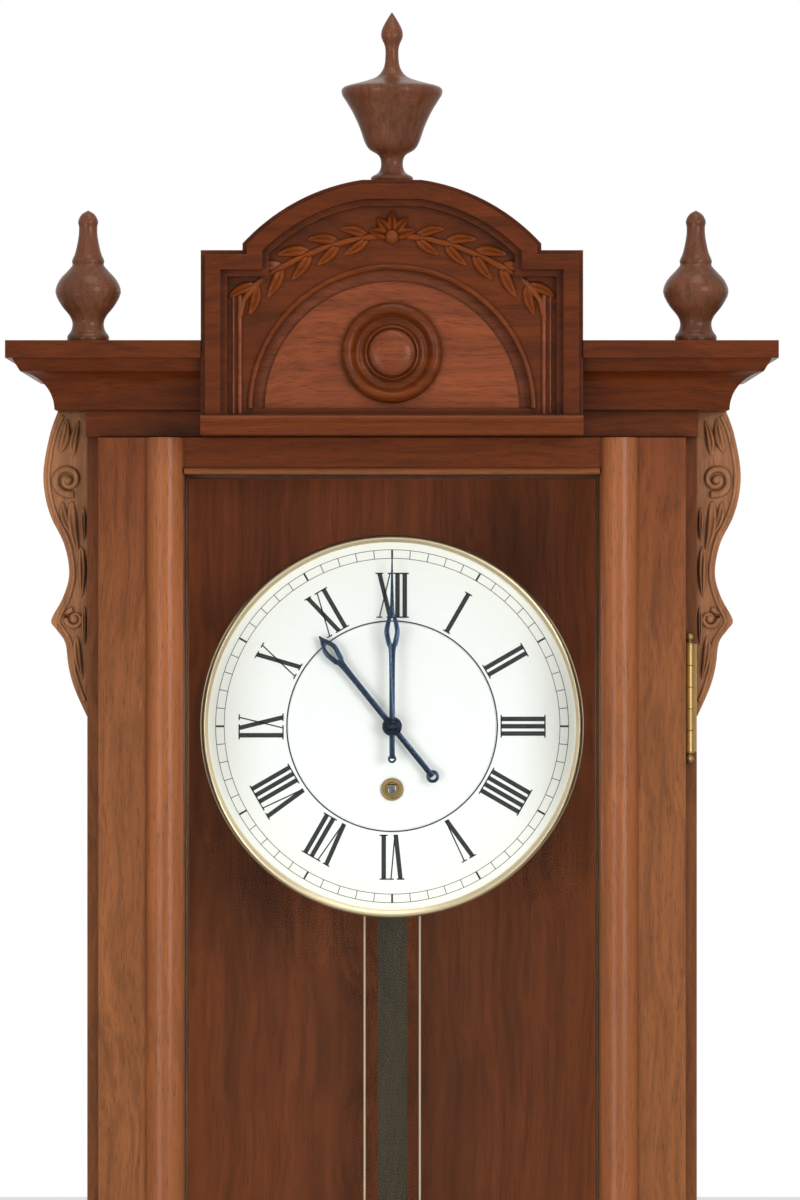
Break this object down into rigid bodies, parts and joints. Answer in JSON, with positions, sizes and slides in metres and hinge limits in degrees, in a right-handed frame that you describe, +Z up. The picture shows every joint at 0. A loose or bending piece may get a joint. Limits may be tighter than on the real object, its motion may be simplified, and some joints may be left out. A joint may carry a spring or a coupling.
{
  "type": "wall clock",
  "caption": "Weight-driven pendulum wall clock in a glazed walnut case: arched pediment, turned finials, white enamel dial, hinged glass door, train, weight and pendulum.",
  "frame": {"origin": "centre of the hanger plate's round hole, on the wall plane", "axes": "+X to the right seen from the front, +Y into the wall, +Z up"},
  "size_m": [0.352, 0.19, 1.127],
  "materials": {
    "walnut": "polished",
    "dark_walnut": "polished",
    "light_walnut": "polished",
    "glass": "clear",
    "brass": "polished",
    "steel": "blued",
    "iron": "painted",
    "enamel": "glossy",
    "ebonised": "polished",
    "line": "stranded"
  },
  "bodies": {
    "case": {"back_board": "walnut", "hanger_plate": "brass", "left_side_frame": "walnut", "right_side_frame": "walnut", "side_glass": "glass", "top_board": "walnut", "bottom_board": "walnut", "frieze_rail": "walnut", "cornice_left": "dark_walnut", "cornice_right": "dark_walnut", "pediment_board": "walnut", "pediment_spandrel": "dark_walnut", "pediment_rim": "dark_walnut", "pediment_panel": "light_walnut", "roundel": "walnut", "center_finial": "walnut", "side_finials": "walnut", "ear_brackets": "light_walnut", "base_moulding": "dark_walnut", "base_console": "walnut", "pendants": "walnut", "case_hinge_leaves": "brass", "movement_bracket": "iron", "back_plate": "brass", "front_plate": "brass", "plate_pillars": "brass", "suspension_cock": "brass", "suspension_spring": "steel", "dial": "enamel", "dial_bezel": "brass", "beat_plate": "enamel", "weight_line": "line"},
    "door": {"door_left_stile": "light_walnut", "door_right_stile": "light_walnut", "door_top_rail": "light_walnut", "door_bottom_rail": "light_walnut", "door_beads": "light_walnut", "door_glass": "glass", "door_hinge_leaves": "brass", "door_lock_case": "brass"},
    "bolt": {"lock_bolt": "steel"},
    "key": {"door_key": "brass"},
    "center_arbor": {"center_wheel": "brass", "cannon_pinion": "brass", "minute_hand": "steel"},
    "great_wheel": {"great_wheel": "brass"},
    "click": {"ratchet_click": "steel"},
    "drum": {"winding_drum": "brass"},
    "third_wheel": {"third_wheel": "brass"},
    "escape_wheel": {"escape_wheel": "brass"},
    "pallets": {"pallet_anchor": "steel"},
    "minute_wheel": {"minute_wheel": "brass"},
    "hour_pipe": {"hour_wheel": "brass", "hour_hand": "steel"},
    "pendulum": {"pendulum_rod": "ebonised"},
    "bob": {"pendulum_bob": "brass"},
    "nut": {"rating_nut": "brass"},
    "weight": {"driving_weight": "brass"},
    "pulley": {"weight_pulley": "brass"}
  },
  "joints": [
    {"name": "door_swing", "type": "hinge", "parent": "case", "child": "door", "pos_m": [0.1375, -0.1347, -0.443], "axis": [0, 0, 1], "range_deg": [0, 100]},
    {"name": "key_turn", "type": "hinge", "parent": "door", "child": "key", "pos_m": [-0.1182, -0.15, -0.443], "axis": [0, 1, 0], "range_deg": [0, 90]},
    {"name": "bolt_throw", "type": "slide", "parent": "door", "child": "bolt", "axis": [-1, 0, 0], "range_m": [0, 0.005]},
    {"name": "center_turn", "type": "hinge", "parent": "case", "child": "center_arbor", "pos_m": [0, -0.08, -0.197], "axis": [0, 1, 0], "continuous": true},
    {"name": "great_turn", "type": "hinge", "parent": "case", "child": "great_wheel", "pos_m": [0, -0.093, -0.2264], "axis": [0, 1, 0], "continuous": true},
    {"name": "click_pivot", "type": "hinge", "parent": "great_wheel", "child": "click", "pos_m": [0.015, -0.091, -0.2174], "axis": [0, 1, 0], "range_deg": [0, 15], "stiffness_Nm_per_rad": 0.002},
    {"name": "third_turn", "type": "hinge", "parent": "case", "child": "third_wheel", "pos_m": [0.01026, -0.08, -0.17754], "axis": [0, 1, 0], "continuous": true},
    {"name": "escape_turn", "type": "hinge", "parent": "case", "child": "escape_wheel", "pos_m": [0, -0.08, -0.165], "axis": [0, 1, 0], "continuous": true},
    {"name": "minute_wheel_turn", "type": "hinge", "parent": "case", "child": "minute_wheel", "pos_m": [-0.011, -0.103, -0.197], "axis": [0, 1, 0], "continuous": true},
    {"name": "hour_turn", "type": "hinge", "parent": "case", "child": "hour_pipe", "pos_m": [0, -0.106, -0.197], "axis": [0, 1, 0], "continuous": true},
    {"name": "winding", "type": "hinge", "parent": "case", "child": "drum", "pos_m": [0, -0.08, -0.2264], "axis": [0, 1, 0], "range_deg": [-1762.95, 1674.8]},
    {"name": "weight_travel", "type": "slide", "parent": "case", "child": "weight", "axis": [0, 0, 1], "range_m": [-0.2, 0.19], "deforming": ["weight_line"]},
    {"name": "pulley_turn", "type": "hinge", "parent": "weight", "child": "pulley", "pos_m": [0, -0.0795, -0.46], "axis": [0, 1, 0], "range_deg": [-881.47, 837.4]},
    {"name": "pendulum_swing", "type": "hinge", "parent": "case", "child": "pendulum", "pos_m": [0, -0.04, -0.1452], "axis": [0, 1, 0], "range_deg": [-2.5, 2.5], "deforming": ["suspension_spring"]},
    {"name": "pallet_rock", "type": "hinge", "parent": "case", "child": "pallets", "pos_m": [0, -0.08, -0.1452], "axis": [0, 1, 0], "range_deg": [-2.5, 2.5]},
    {"name": "nut_turn", "type": "hinge", "parent": "bob", "child": "nut", "pos_m": [0, -0.04, -0.779], "axis": [0, 0, 1], "range_deg": [-2880, 2880]},
    {"name": "bob_slide", "type": "slide", "parent": "pendulum", "child": "bob", "axis": [0, 0, 1], "range_m": [-0.004, 0.004]}
  ],
  "couplings": [
    {"joint": "bolt_throw", "follows": "key_turn", "m_per_rad": 0.0031831},
    {"joint": "great_turn", "follows": "center_turn", "ratio": -0.05},
    {"joint": "third_turn", "follows": "center_turn", "ratio": -10},
    {"joint": "escape_turn", "follows": "center_turn", "ratio": 80},
    {"joint": "minute_wheel_turn", "follows": "center_turn", "ratio": -0.33333},
    {"joint": "hour_turn", "follows": "center_turn", "ratio": 0.083333},
    {"joint": "winding", "follows": "weight_travel", "rad_per_m": 153.85},
    {"joint": "pulley_turn", "follows": "weight_travel", "rad_per_m": 76.923},
    {"joint": "pallet_rock", "follows": "pendulum_swing", "ratio": 1},
    {"joint": "nut_turn", "follows": "bob_slide", "rad_per_m": 12566}
  ]
}
